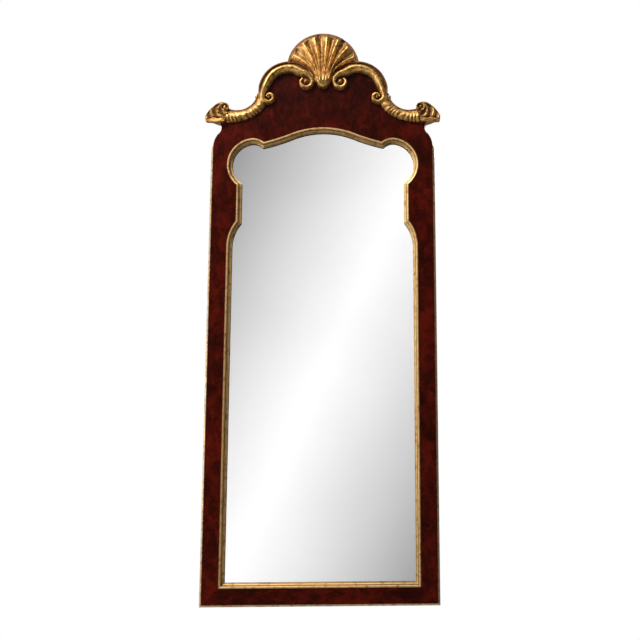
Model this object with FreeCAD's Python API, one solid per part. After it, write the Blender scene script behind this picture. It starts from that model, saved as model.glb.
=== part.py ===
import FreeCAD, Part
import math
import os

# A tall wall mirror: a veneered frame with a gilt sight moulding, gilt edge
# strips and a carved giltwood crest of shell, scrolls and leaves.
# Millimetres. X runs right, Z up, the front faces -Y and the wall is at y = 0.
# Heights here start at the bottom edge of the frame.

Vector = FreeCAD.Vector

# Overall sizes
body_width = 570.0
shoulder_drop = 95.0

# Boards of the frame
backboard_thickness = 6.0
carcass_thickness = 24.0
veneer_thickness = 1.5
edge_strip_thickness = 5.0
edge_strip_proud = 1.5
edge_strip_rounding = 1.4
edge_strip_end_rise = 45.0
edge_strip_end_thickness = 2.0
stile_width = 39.0
bottom_rail_width = 40.0
crest_joint_drop = 21.6
lap_length = 50.0

# Sight opening
step_height = 872.0
step_rise = 66.0
step_in = 22.0
neck_length = 93.6
head_rise = 153.4

# Glass and what holds it
lip_thickness = 8.0
glass_thickness = 4.0
silvering_thickness = 0.4
glass_lap = 8.0
glass_edge_play = 1.5
block_width = 12.0
block_length = 45.0
backboard_lap = 11.0

# Sight moulding
moulding_width = 13.0
moulding_proud = 3.0
bead_width = 6.2
moulding_foot = 2.0
glue_gap = 0.2

# Depth of the carvings, proud of the veneer
shell_depth = 26.0
scroll_depth = 20.0
leaf_depth = 16.0
ear_depth = 19.0
scroll_gap = 0.4

# Hangers on the back of the crest board
hanger_offset = 140.0
hanger_rise = 83.0
strap_thickness = 1.0
strap_width = 14.0
strap_length = 52.0
strap_screw_offset = 33.0
strap_screw_spacing = 12.0
ring_wire = 3.0
ring_inner_width = 26.0
ring_inner_height = 20.0
pivot_play = 0.05
ring_stand_off = 0.3

# Screws of the hangers and cut nails of the backboard
screw_radius = 1.5
screw_head_radius = 3.0
screw_head_height = 1.6
screw_length = 15.0
screw_play = 0.05
screw_side_count = 12
nail_size = 2.0
nail_head_size = 4.0
nail_head_thickness = 0.8
nail_length = 22.0

# A round carving is cut in flats that stay this close to the true round
flat_sag = 0.3
full_turn = 360.0

# How far a cutting solid runs past what it cuts
overrun = 5.0

# Levels from the wall forwards
half_width = body_width / 2
board_half_width = half_width - edge_strip_thickness
carcass_back = -backboard_thickness
carcass_front = carcass_back - carcass_thickness
carcass_middle = (carcass_back + carcass_front) / 2
veneer_front = carcass_front - veneer_thickness
glass_front = carcass_front + lip_thickness
glass_back = glass_front + glass_thickness
silvering_back = glass_back + silvering_thickness
opening_half_width = board_half_width - stile_width
opening_bottom = edge_strip_thickness + bottom_rail_width
neck_half_width = opening_half_width - step_in
step_top = step_height + step_rise
cusp_height = step_top + neck_length
arch_height = cusp_height + head_rise
crest_joint_height = cusp_height - crest_joint_drop
shoulder_height = arch_height - shoulder_drop
edge_strip_end_height = shoulder_height + edge_strip_end_rise
hanger_height = arch_height + hanger_rise

# The crest is drawn in modules: 2.85 to the half width and 3.45 from the
# shoulder to the top of the shell
module = half_width / 2.85
overall_height = shoulder_height + 3.45 * module


def crest_point(across_share, up_share):
    """A point of the crest, in modules from the centre line and the shoulder's height."""
    return Vector(across_share * module, 0, shoulder_height + up_share * module)


def sight_point(across_share, up_share):
    """A point of the shaped head, in shares of the neck's half width and the head's rise."""
    return Vector(across_share * neck_half_width, 0, cusp_height + up_share * head_rise)


def plan(x, z):
    """A point of the front elevation."""
    return Vector(x, 0, z)


def line(start, end):
    """Straight edge between two points."""
    return Part.LineSegment(start, end).toShape()


def arc(start, middle, end):
    """Round edge through three points."""
    return Part.Arc(start, middle, end).toShape()


def tangent_arc(start, direction, end):
    """The arc that leaves start along direction and reaches end."""
    chord = end - start
    unit = direction.normalize()
    normal = Vector(-unit.z, 0, unit.x)
    radius = chord.dot(chord) / (2 * chord.dot(normal))
    centre = start + normal * radius
    middle_way = (start + end) / 2 - centre
    middle_way.normalize()
    return arc(start, centre + middle_way * abs(radius), end)


def end_direction(edge):
    """Direction in which an edge arrives at its last point."""
    return edge.tangentAt(edge.LastParameter)


def start_direction(edge):
    """Direction in which an edge leaves its first point."""
    return edge.tangentAt(edge.FirstParameter)


def mirrored(shape):
    """The same piece on the other side of the centre line."""
    return shape.mirror(Vector(0, 0, 0), Vector(1, 0, 0))


def prism(edges, back, front):
    """A flat board with the outline of the edges between two Y levels."""
    face = Part.Face(Part.Wire(Part.sortEdges(edges)[0]))
    face.translate(Vector(0, back, 0))
    return face.extrude(Vector(0, front - back, 0))


def polygon(points):
    """Closed outline of straight edges."""
    return [line(points[i - 1], points[i]) for i in range(len(points))]


def block(x_low, x_high, back, front, z_low, z_high):
    """Box between named places on each axis, back being its higher Y."""
    corner = Vector(x_low, front, z_low)
    return Part.makeBox(x_high - x_low, back - front, z_high - z_low, corner)


def reflected(edges):
    """The mirror images of an outline's edges."""
    return [mirrored(edge) for edge in edges]


# Outlines of the frame

def shoulder_edges():
    """Right side of the crest board, from the edge strip's end up to the shell."""
    strip_end = plan(board_half_width, edge_strip_end_height)
    shoulder = crest_point(2.685, 0.775)
    ear_root = crest_point(2.66, 1.09)
    ear_back = crest_point(2.95, 1.21)
    leaf_start = crest_point(2.385, 1.372)
    leaf_end = crest_point(1.66, 1.76)
    scroll_foot = crest_point(1.600, 1.80)
    shell_side = crest_point(0.875, 2.655)
    return [
        arc(strip_end, crest_point(2.770, 0.62), shoulder),
        arc(shoulder, crest_point(2.600, 0.93), ear_root),
        arc(ear_root, crest_point(2.81, 1.14), ear_back),
        arc(ear_back, crest_point(2.74, 1.49), leaf_start),
        arc(leaf_start, crest_point(1.92, 1.44), leaf_end),
        line(leaf_end, scroll_foot),
        arc(scroll_foot, crest_point(1.39, 2.44), shell_side),
    ]


def frame_edges():
    """Outline of the frame without its edge strips."""
    right = shoulder_edges()
    bottom_right = plan(board_half_width, edge_strip_thickness)
    bottom_left = plan(-board_half_width, edge_strip_thickness)
    strip_end = plan(board_half_width, edge_strip_end_height)
    strip_end_left = plan(-board_half_width, edge_strip_end_height)
    shell_right = crest_point(0.875, 2.655)
    shell_left = crest_point(-0.875, 2.655)
    return [
        line(bottom_left, bottom_right),
        line(bottom_right, strip_end),
        *right,
        arc(shell_right, crest_point(0, 3.40), shell_left),
        *reflected(right),
        line(strip_end_left, bottom_left),
    ]


def step_edges():
    """Right side of the opening, up to the corner where it steps in."""
    low = plan(opening_half_width, opening_bottom)
    step = plan(opening_half_width, step_height)
    corner = plan(neck_half_width, step_top)
    return [line(low, step), tangent_arc(step, Vector(0, 0, 1), corner)]


def neck_edge():
    """Straight side of the opening between its step and its lobe."""
    return line(plan(neck_half_width, step_top), plan(neck_half_width, cusp_height))


def lobe_edges():
    """Round lobe of the opening's head, from the neck to the arch's cusp."""
    turn = sight_point(0.877, 0.801)
    first = arc(plan(neck_half_width, cusp_height), sight_point(1.116, 0.348), turn)
    last = tangent_arc(turn, end_direction(first), sight_point(0.687, 0.748))
    return [first, last]


def arch_edges():
    """Bow-shaped arch, right to left, with a reverse curve at each end."""
    haunch = sight_point(0.388, 0.887)
    haunch_left = sight_point(-0.388, 0.887)
    crown = arc(haunch, sight_point(0, 1), haunch_left)
    left = tangent_arc(haunch_left, end_direction(crown), sight_point(-0.687, 0.748))
    middle = left.valueAt((left.FirstParameter + left.LastParameter) / 2)
    right = arc(sight_point(0.687, 0.748), plan(-middle.x, middle.z), haunch)
    return [right, crown, left]


def opening_edges():
    """The whole sight opening of the boards."""
    right = [*step_edges(), neck_edge(), *lobe_edges()]
    low_left = plan(-opening_half_width, opening_bottom)
    low_right = plan(opening_half_width, opening_bottom)
    return [line(low_left, low_right), *right, *arch_edges(), *reflected(right)]


# Carcass, veneer and edge strips

def rebate_half_width():
    """From the centre line to the rebate's side."""
    return opening_half_width + glass_lap + glass_edge_play


def rebate_bottom():
    """Height of the rebate's lower edge."""
    return opening_bottom - glass_lap / 2 - glass_edge_play


def rebate_top():
    """Height of the rebate's upper edge."""
    return arch_height + glass_lap / 2 + glass_edge_play


def carcass_blank():
    """All the carcass boards as one, with the opening and the glass rebate cut."""
    blank = prism(frame_edges(), carcass_back, carcass_front)
    opening = prism(opening_edges(), carcass_back + overrun, carcass_front - overrun)
    half = rebate_half_width()
    rebate = block(-half, half, carcass_back + overrun, glass_front, rebate_bottom(), rebate_top())
    return blank.cut(opening).cut(rebate)


def carcass_pieces():
    """Bottom rail, stiles and crest board with half-lapped corners."""
    blank = carcass_blank()
    side = half_width + overrun
    rail_front = block(-side, side, carcass_middle, carcass_front, 0, opening_bottom)
    rail_back = block(-opening_half_width, opening_half_width, carcass_back, carcass_middle,
                      0, opening_bottom)
    stile = block(0, side, carcass_back, carcass_front, opening_bottom,
                  crest_joint_height - lap_length)
    stile_foot = block(opening_half_width, side, carcass_back, carcass_middle, 0, opening_bottom)
    stile_head = block(0, side, carcass_back, carcass_middle,
                       crest_joint_height - lap_length, crest_joint_height)
    crest = block(-side, side, carcass_back, carcass_front, crest_joint_height,
                  overall_height + overrun)
    crest_tongue = block(-side, side, carcass_middle, carcass_front,
                         crest_joint_height - lap_length, crest_joint_height)
    stile_right = blank.common(stile.fuse([stile_foot, stile_head]).removeSplitter())
    return {
        "carcass_bottom_rail": blank.common(rail_front.fuse(rail_back).removeSplitter()),
        "carcass_right_stile": stile_right,
        "carcass_left_stile": mirrored(stile_right),
        "carcass_crest_board": blank.common(crest.fuse(crest_tongue).removeSplitter()),
    }


def veneer_pieces():
    """Facings of the rail, stiles and crest, mitred below and matched on the centre line."""
    blank = prism(frame_edges(), carcass_front, veneer_front)
    blank = blank.cut(prism(opening_edges(), carcass_front + overrun, veneer_front - overrun))
    outer_corner = plan(board_half_width, edge_strip_thickness)
    inner_corner = plan(opening_half_width, opening_bottom)
    side = half_width + overrun
    rail = prism(polygon([outer_corner, inner_corner,
                          plan(-opening_half_width, opening_bottom),
                          plan(-board_half_width, edge_strip_thickness)]),
                 carcass_front, veneer_front)
    stile = prism(polygon([outer_corner, inner_corner, plan(0, opening_bottom),
                           plan(0, crest_joint_height), plan(side, crest_joint_height),
                           plan(side, edge_strip_thickness)]),
                  carcass_front, veneer_front)
    crest = block(0, side + half_width, carcass_front, veneer_front,
                  crest_joint_height, overall_height + overrun)
    stile_right = blank.common(stile)
    crest_right = blank.common(crest)
    return {
        "veneer_bottom_rail": blank.common(rail),
        "veneer_right_stile": stile_right,
        "veneer_left_stile": mirrored(stile_right),
        "veneer_crest_right": crest_right,
        "veneer_crest_left": mirrored(crest_right),
    }


def strip_section(outer, inner, place):
    """Section of an edge strip with both front corners rounded; place turns it into space."""
    front = veneer_front - edge_strip_proud
    r = edge_strip_rounding
    bend = r * (1 - math.sqrt(0.5))
    way = 1 if outer > inner else -1
    back_outer = place(outer, carcass_back)
    back_inner = place(inner, carcass_back)
    side_outer = place(outer, front + r)
    side_inner = place(inner, front + r)
    top_outer = place(outer - way * r, front)
    top_inner = place(inner + way * r, front)
    return Part.Face(Part.Wire([
        line(back_outer, side_outer),
        arc(side_outer, place(outer - way * bend, front + bend), top_outer),
        line(top_outer, top_inner),
        arc(top_inner, place(inner + way * bend, front + bend), side_inner),
        line(side_inner, back_inner),
        line(back_inner, back_outer),
    ]))


def edge_strips():
    """Gilt strips round the sides and bottom, mitred at the corners."""
    upright = strip_section(half_width, board_half_width, lambda x, y: Vector(x, y, 0))
    upright = upright.extrude(Vector(0, 0, edge_strip_end_height))
    level = strip_section(0, edge_strip_thickness, lambda z, y: Vector(-half_width, y, z))
    level = level.extrude(Vector(body_width, 0, 0))
    front = veneer_front - edge_strip_proud - overrun
    corner = plan(half_width, 0)
    inner_corner = plan(board_half_width, edge_strip_thickness)
    side_end = plan(half_width, shoulder_height)
    strip_end = plan(board_half_width + edge_strip_end_thickness, edge_strip_end_height)
    right_region = prism([
        line(inner_corner, corner),
        line(corner, side_end),
        tangent_arc(side_end, Vector(0, 0, 1), strip_end),
        line(strip_end, plan(board_half_width, edge_strip_end_height)),
        line(plan(board_half_width, edge_strip_end_height), inner_corner),
    ], carcass_back, front)
    bottom_region = prism(polygon([
        plan(-half_width, 0), corner, inner_corner,
        plan(-board_half_width, edge_strip_thickness)]), carcass_back, front)
    right = upright.common(right_region)
    return {
        "edge_strip_right": right,
        "edge_strip_left": mirrored(right),
        "edge_strip_bottom": level.common(bottom_region),
    }


# Sight moulding

def moulding_section(start, direction):
    """Closed profile square to the path: a bead beside the boards and a cove down to the glass."""
    inward = Vector(-direction.z, 0, direction.x)

    def at(across, level):
        return start + inward * across + Vector(0, level, 0)

    crown = veneer_front - moulding_proud
    bead_side = at(glue_gap, veneer_front - moulding_proud / 3)
    bead_end = at(bead_width, veneer_front - moulding_proud / 6)
    cove_share = 0.35
    cove = at(bead_width + cove_share * (moulding_width - bead_width),
              veneer_front + (glass_front - veneer_front) * (1 - cove_share) - moulding_foot)
    return Part.Wire(polygon([
        at(glue_gap, glass_front), bead_side, at(bead_width * 0.3, crown),
        at(bead_width * 0.7, crown), bead_end, cove,
        at(moulding_width, glass_front - moulding_foot), at(moulding_width, glass_front)]))


def mitre_block(corner, arriving, leaving, keep_arriving):
    """Block that takes away what lies past the mitre between two runs."""
    bisector = Vector(-arriving.z - leaving.z, 0, arriving.x + leaving.x)
    bisector.normalize()
    past = Vector(bisector.z, 0, -bisector.x)
    if not keep_arriving:
        past = past * -1
    reach = neck_half_width
    low = corner - bisector * reach
    high = corner + bisector * reach
    outline = polygon([low, high, high + past * reach, low + past * reach])
    return prism(outline, carcass_back, veneer_front - moulding_proud - overrun)


def moulding_run(edges, before, after):
    """One length of moulding along its edges, mitred to the runs before and after it."""
    start = edges[0].valueAt(edges[0].FirstParameter)
    end = edges[-1].valueAt(edges[-1].LastParameter)
    leaving = start_direction(edges[0])
    arriving = end_direction(edges[-1])
    long_start = start - leaving * moulding_width
    long_end = end + arriving * moulding_width
    path = Part.Wire([line(long_start, start), *edges, line(end, long_end)])
    section = moulding_section(long_start, leaving)
    run = path.makePipeShell([section], True, False)
    run = run.cut(mitre_block(start, before, leaving, False))
    return run.cut(mitre_block(end, arriving, after, True))


def mouldings():
    """The eight lengths that follow the opening."""
    across = Vector(1, 0, 0)
    up = Vector(0, 0, 1)
    low_left = plan(-opening_half_width, opening_bottom)
    low_right = plan(opening_half_width, opening_bottom)
    side = step_edges()
    lobe = lobe_edges()
    arch = arch_edges()
    lobe_left_start = Vector(end_direction(lobe[-1]).x, 0, -end_direction(lobe[-1]).z)
    bottom = moulding_run([line(low_left, low_right)], up * -1, up)
    right_side = moulding_run(side, across, up)
    neck = moulding_run([neck_edge()], end_direction(side[-1]), start_direction(lobe[0]))
    lobe_right = moulding_run(lobe, up, start_direction(arch[0]))
    crown = moulding_run(arch, end_direction(lobe[-1]), lobe_left_start)
    return {
        "sight_moulding_bottom": bottom,
        "sight_moulding_right_side": right_side,
        "sight_moulding_left_side": mirrored(right_side),
        "sight_moulding_right_neck": neck,
        "sight_moulding_left_neck": mirrored(neck),
        "sight_moulding_right_lobe": lobe_right,
        "sight_moulding_left_lobe": mirrored(lobe_right),
        "sight_moulding_arch": crown,
    }


# Glass, its backing and what closes the back

def mirror_glass():
    """Plate of clear glass that lies in the rebate."""
    half = opening_half_width + glass_lap
    return block(-half, half, glass_back, glass_front, rebate_bottom() + glass_edge_play,
                 rebate_top() - glass_edge_play)


def mirror_silvering():
    """The reflecting layer on the back of the plate."""
    half = opening_half_width + glass_lap
    return block(-half, half, silvering_back, glass_back, rebate_bottom() + glass_edge_play,
                 rebate_top() - glass_edge_play)


def glazing_blocks():
    """Softwood blocks glued round the rebate, from the glass to the backboard."""
    half = rebate_half_width()
    low = rebate_bottom()
    high = rebate_top()
    blocks = []
    for share in (0.12, 0.37, 0.63, 0.88):
        middle = low + share * (high - low)
        right = block(half - block_width, half, carcass_back, silvering_back,
                      middle - block_length / 2, middle + block_length / 2)
        blocks += [right, mirrored(right)]
    for side_share in (-0.55, 0.55):
        middle = side_share * half
        for z_low in (low, high - block_width):
            blocks.append(block(middle - block_length / 2, middle + block_length / 2,
                                carcass_back, silvering_back, z_low, z_low + block_width))
    return Part.makeCompound(blocks)


def backboard_box():
    """Half width, lowest and highest edge of the backboard."""
    return (rebate_half_width() + backboard_lap, rebate_bottom() - backboard_lap,
            rebate_top() + backboard_lap)


def backboard_nail_places():
    """Nails midway between the rebate and the backboard's edge."""
    half, low, high = backboard_box()
    inset = backboard_lap / 2
    side = half - inset
    places = []
    for share in (0.02, 0.26, 0.5, 0.74, 0.98):
        z = low + inset + share * (high - low - backboard_lap)
        places += [plan(side, z), plan(-side, z)]
    places += [plan(0, low + inset), plan(0, high - inset)]
    return places


def nail(place):
    """Square cut nail driven towards -Y, its head flush at place."""
    half = nail_size / 2
    head_half = nail_head_size / 2
    head = block(-head_half, head_half, 0, -nail_head_thickness, -head_half, head_half)
    shank = block(-half, half, -nail_head_thickness, -nail_length, -half, half)
    solid = head.fuse(shank).removeSplitter()
    solid.translate(place)
    return solid


def round_bar(place, radius, start, end):
    """Round bar along Y with a few flats, its ends measured in Y from place."""
    corners = []
    for i in range(screw_side_count):
        turn = 2 * math.pi * i / screw_side_count
        corners.append(place + Vector(radius * math.cos(turn), start, radius * math.sin(turn)))
    return Part.Face(Part.Wire(polygon(corners))).extrude(Vector(0, end - start, 0))


def screw(place):
    """Screw driven towards -Y, its head standing on place."""
    head = round_bar(place, screw_head_radius, screw_head_height, 0)
    return head.fuse(round_bar(place, screw_radius, 0, -screw_length))


def screw_hole(place):
    """What a screw takes out of the strap and the board, with its play."""
    return round_bar(place, screw_radius + screw_play, overrun, -screw_length - screw_play)


def backboard():
    """Thin board that closes the back and laps the rebate all round."""
    half, low, high = backboard_box()
    return block(-half, half, 0, carcass_back, low, high)


# Hangers

def pivot_level():
    """Y of the ring's pivot, so that the ring lies clear of the strap."""
    return carcass_back + strap_thickness + ring_stand_off + ring_wire / 2


def hanger_strap():
    """Steel strap with a rolled eye at its top, at the pivot's own height."""
    eye_inner = ring_wire / 2 + pivot_play
    eye_outer = eye_inner + strap_thickness
    half = strap_width / 2
    plate = block(-half, half, carcass_back + strap_thickness, carcass_back, -strap_length, 0)
    corners = [edge for edge in plate.Edges
               if edge.BoundBox.ZMax < -strap_length / 2 and edge.BoundBox.XLength < half]
    plate = plate.makeChamfer(half / 2, corners)
    across = Vector(1, 0, 0)
    eye_place = Vector(-half, pivot_level(), 0)
    eye = Part.makeCylinder(eye_outer, strap_width, eye_place, across)
    bore = Part.makeCylinder(eye_inner, strap_width, eye_place, across)
    strap = plate.fuse(eye).cut(bore).removeSplitter()
    strap.translate(Vector(hanger_offset, 0, hanger_height))
    return strap


def ring_outline(half, top, spring):
    """Outline of a bow: straight legs from top down to spring and a half circle below."""
    return [
        line(plan(-half, top), plan(half, top)),
        line(plan(half, top), plan(half, spring)),
        arc(plan(half, spring), plan(0, spring - half), plan(-half, spring)),
        line(plan(-half, spring), plan(-half, top)),
    ]


def hanging_ring():
    """Flat bow on a round bar that turns in the strap's eye."""
    half = ring_inner_width / 2
    wire = ring_wire / 2
    spring = half - ring_inner_height - wire
    outer = prism(ring_outline(half + ring_wire, wire, spring), wire, -wire)
    inner = prism(ring_outline(half, wire + overrun, spring), wire + overrun, -wire - overrun)
    bar = Part.makeCylinder(wire, 2 * half + ring_wire, Vector(-half - wire, 0, 0), Vector(1, 0, 0))
    ring = outer.cut(inner).fuse(bar).removeSplitter()
    ring.translate(Vector(hanger_offset, pivot_level(), hanger_height))
    return ring


def hanger_screw_places():
    """Screws of one strap, beyond the ring's bow, on the right hanger."""
    top = hanger_height - strap_screw_offset
    level = carcass_back + strap_thickness
    return [Vector(hanger_offset, level, top), Vector(hanger_offset, level, top - strap_screw_spacing)]


# Carvings, in modules and in shares of their depth, cut in small flats

def triangles(rows):
    """Corners of the small flats between neighbouring rows of points."""
    flats = []
    for before, after in zip(rows, rows[1:]):
        for i in range(1, len(before)):
            a, b, c, d = before[i - 1], before[i], after[i], after[i - 1]
            flats += [flat for flat in ((a, b, c), (a, c, d))
                      if flat[0] != flat[1] and flat[1] != flat[2] and flat[2] != flat[0]]
    return flats


def solid_inside(flats):
    """The solid that a closed set of flats bounds."""
    shell = Part.makeShell([Part.Face(Part.Wire(polygon(flat))) for flat in flats])
    shell.sewShape()
    solid = Part.makeSolid(shell)
    if solid.Volume < 0:
        solid.reverse()
    return solid.removeSplitter()


def relief(rows):
    """Carving whose front passes through rows of points, glued flat on the veneer."""
    border = [*rows[0], *[row[-1] for row in rows[1:-1]], *rows[-1][::-1],
              *[row[0] for row in rows[-2:0:-1]]]
    foot = [Vector(point.x, veneer_front, point.z) for point in border]
    walls = [(border[i - 1], border[i], foot[i], foot[i - 1]) for i in range(len(border))]
    return solid_inside([*triangles(rows), *walls, foot])


def turned(profile, centre, first_angle=0, sweep=full_turn):
    """Solid turned about the Y axis through centre, from first_angle on, in degrees.

    Each point of the closed profile is a radius in modules and a height above
    the veneer in millimetres.
    """
    rim = max(radius for radius, height in profile) * module
    count = math.ceil(math.radians(sweep) / (2 * math.acos(1 - flat_sag / rim)))
    sections = []
    for i in range(count + 1):
        turn = math.radians(first_angle + sweep * i / count)
        way = Vector(math.cos(turn), 0, math.sin(turn)) * module
        sections.append([centre + way * radius + Vector(0, veneer_front - height, 0)
                         for radius, height in profile])
    flats = triangles([[*section, section[0]] for section in sections])
    if sweep < full_turn:
        flats += [sections[0], sections[-1]]
    return solid_inside(flats)


def volute(centre, radius, height):
    """Rim, hollow and eye of a volute."""
    rim, eye = radius * 0.64, radius * 0.38
    return turned([(0, 0), (radius, 0), (radius, height * 0.75), (rim, height * 0.86),
                   (eye, height * 0.52), (eye * 0.8, height), (0, height)], centre)


scroll_centre = crest_point(0.865, 1.90)
scroll_first_angle = -11
scroll_sweep_angle = 146
scroll_outer_share = 0.80
# Section of the band: radius in modules and share of the depth, from the inner foot
scroll_profile_shares = [(0.53, 0), (0.80, 0), (0.80, 0.62), (0.745, 0.62), (0.725, 0.46),
                         (0.67, 1), (0.60, 1), (0.53, 0.46)]
# Round grounds under the volutes and the volutes, upper then lower: centre across
# and up, and radius, all in modules
volute_ground_shares = [(0.476, 2.309, 0.235), (1.473, 1.750, 0.168)]
volute_ground_depth_share = 0.80
volute_shares = [(0.440, 2.155, 0.195), (1.385, 1.727, 0.140)]


def c_scroll():
    """Right C-scroll: a band with a fillet, a groove and a round, and a volute at each end."""
    profile = [(radius, height_share * scroll_depth)
               for radius, height_share in scroll_profile_shares]
    band = turned(profile, scroll_centre, scroll_first_angle, scroll_sweep_angle)
    ground = volute_ground_depth_share * scroll_depth
    rounds = [turned([(0, 0), (r, 0), (r, ground), (0, ground)], crest_point(x, z))
              for x, z, r in volute_ground_shares]
    rounds += [volute(crest_point(x, z), r, scroll_depth) for x, z, r in volute_shares]
    return band.fuse(rounds)


def scroll_clearance(depth):
    """Space that the right C-scroll needs beside it, up to a depth in front of the veneer."""
    gap = scroll_gap / module
    floor = -overrun
    reach = scroll_outer_share + gap
    spaces = [turned([(0, floor), (reach, floor), (reach, depth), (0, depth)], scroll_centre,
                     scroll_first_angle, scroll_sweep_angle)]
    for x, z, r in volute_ground_shares + volute_shares:
        column = [(0, floor), (r + gap, floor), (r + gap, depth), (0, depth)]
        spaces.append(turned(column, crest_point(x, z)))
    return spaces[0].fuse(spaces[1:])


shell_ridge_count = 7
shell_half_angle = 52
shell_fan_centre = crest_point(0, 1.88)
shell_rim_drop_share = 0.635
shell_rim_share = 0.935
shell_stem_share = 0.14
# Along the shell from its stem to its rim: place, then depth shares of ridge and hollow
shell_row_shares = [(0.06, 0.78, 0.70), (0.25, 0.94, 0.70), (0.50, 1.00, 0.62), (0.72, 0.94, 0.55),
                    (0.88, 0.80, 0.48), (0.90, 0.52, 0.46), (1, 0.42, 0.42)]
# A ridge's flank lies this share of the depth below the middle of ridge and hollow
shell_flank_share = 0.06


def shell_reach(angle):
    """From the fan's centre to the round rim, in modules, along an angle in radians."""
    drop = shell_rim_drop_share
    return drop * math.cos(angle) + math.sqrt(shell_rim_share ** 2 - (drop * math.sin(angle)) ** 2)


def shell_point(across, along, height_share):
    """A point of the shell; across is -1 to 1 over the fan, along 0 to 1 from stem to rim."""
    bend = 1 - 0.36 * math.sin(math.pi * along)
    angle = math.radians(shell_half_angle) * across * bend
    reach = shell_stem_share + (shell_reach(angle) - shell_stem_share) * along
    way = Vector(math.sin(angle), 0, math.cos(angle)) * (reach * module)
    return shell_fan_centre + way + Vector(0, veneer_front - height_share * shell_depth, 0)


def crest_shell():
    """Scallop shell: seven ridges between hollows inside a plain rim, on a round stem."""
    side_steps = 2 * shell_ridge_count + 2
    rows = []
    for along, ridge, hollow in shell_row_shares:
        flank = (hollow + ridge) / 2 - shell_flank_share
        levels = (hollow, flank, ridge, flank)
        rows.append([shell_point(i / side_steps - 1, along, levels[i % 4])
                     for i in range(2 * side_steps + 1)])
    stem = turned([(0, 0), (0.155, 0), (0.155, 0.45 * shell_depth), (0.09, 0.70 * shell_depth),
                   (0, 0.78 * shell_depth)], crest_point(0, 2.14))
    shell = relief(rows).fuse(stem)
    side_space = scroll_clearance(shell_depth + overrun)
    return shell.cut(side_space).cut(mirrored(side_space))


leaf_centre = crest_point(2.20, 1.905)
leaf_inner_share = 0.52
leaf_lobe_count = 7
leaf_lobe_share = 0.035
leaf_first_angle = 189
leaf_last_angle = 290
# Width of the leaf in modules at places from its foot on the scroll, 0, to the ear, 1
leaf_width_shares = [(0, 0.17), (0.14, 0.265), (0.26, 0.27), (0.51, 0.245), (0.73, 0.26), (1, 0.345)]
# Section of the leaf: share of the width, share of the depth, and what a lobe adds to it
leaf_section_shares = [(0, 0.62, 0), (0.14, 0.64, 0), (0.20, 0.50, 0), (0.45, 0.85, 0.15),
                       (0.75, 0.60, 0.22), (1, 0.25, 0.15)]


def leaf_width(along):
    """Width of the leaf in modules, straight between its listed places."""
    for (start, width), (end, next_width) in zip(leaf_width_shares, leaf_width_shares[1:]):
        if along <= end:
            break
    return width + (next_width - width) * (along - start) / (end - start)


def leaf_scroll():
    """Right leaf scroll: a smooth rim above and a lobed leaf edge below."""
    rows = []
    for i in range(3 * leaf_lobe_count + 1):
        along = i / (3 * leaf_lobe_count)
        lobe = math.sin(math.pi * (i % 3) / 3)
        width = leaf_width(along) + leaf_lobe_share * lobe
        turn = math.radians(leaf_first_angle + (leaf_last_angle - leaf_first_angle) * along)
        way = Vector(math.cos(turn), 0, math.sin(turn)) * module
        row = []
        for share, height, lobe_height in leaf_section_shares:
            level = veneer_front - (height + lobe_height * lobe) * leaf_depth
            row.append(leaf_centre + way * (leaf_inner_share + width * share) + Vector(0, level, 0))
        rows.append(row)
    knob = turned([(0, 0), (0.042, 0), (0.042, 0.6 * leaf_depth), (0, 0.7 * leaf_depth)],
                  crest_point(1.705, 1.735))
    return relief(rows).fuse(knob).cut(scroll_clearance(leaf_depth + overrun))


ear_station_count = 9
# Depth shares over the ear from its lower edge to its upper edge: three lobes between creases
ear_level_shares = (0.70, 0.86, 0.68, 0.98, 0.78, 0.94, 0.55)
# Share of its depth that the ear loses towards its tip
ear_fall_share = 0.22


def ear_leaf():
    """Right ear: a curled leaf of three lobes that reaches out past the frame's side."""
    root_top, root_foot = crest_point(2.390, 1.412), crest_point(2.510, 1.075)
    brow, crown = crest_point(2.435, 1.53), crest_point(2.66, 1.575)
    tip_top, tip_foot = crest_point(3.02, 1.20), crest_point(2.99, 1.10)
    top = Part.Wire([arc(root_top, crest_point(2.396, 1.473), brow),
                     arc(brow, crest_point(2.54, 1.59), crown),
                     arc(crown, crest_point(2.87, 1.418), tip_top)])
    foot = arc(root_foot, crest_point(2.76, 1.062), tip_foot)
    highs = top.discretize(ear_station_count)
    lows = foot.discretize(ear_station_count)
    rows = []
    for i, (high, low) in enumerate(zip(highs, lows)):
        fall = 1 - ear_fall_share * (i / (ear_station_count - 1)) ** 2
        row = []
        for j, level in enumerate(ear_level_shares):
            share = j / (len(ear_level_shares) - 1)
            height = ear_depth * level * fall
            row.append(low + (high - low) * share + Vector(0, veneer_front - height, 0))
        rows.append(row)
    return relief(rows).fuse(volute(crest_point(2.49, 1.46), 0.085, 1.1 * ear_depth))


# The whole mirror

def fasten(pieces, name, fasteners, holes, fastened):
    """Add a group of fasteners and cut their holes in the pieces that they join."""
    pieces[name] = Part.makeCompound(fasteners)
    for fastened_name in fastened:
        for hole in holes:
            pieces[fastened_name] = pieces[fastened_name].cut(hole)


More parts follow.
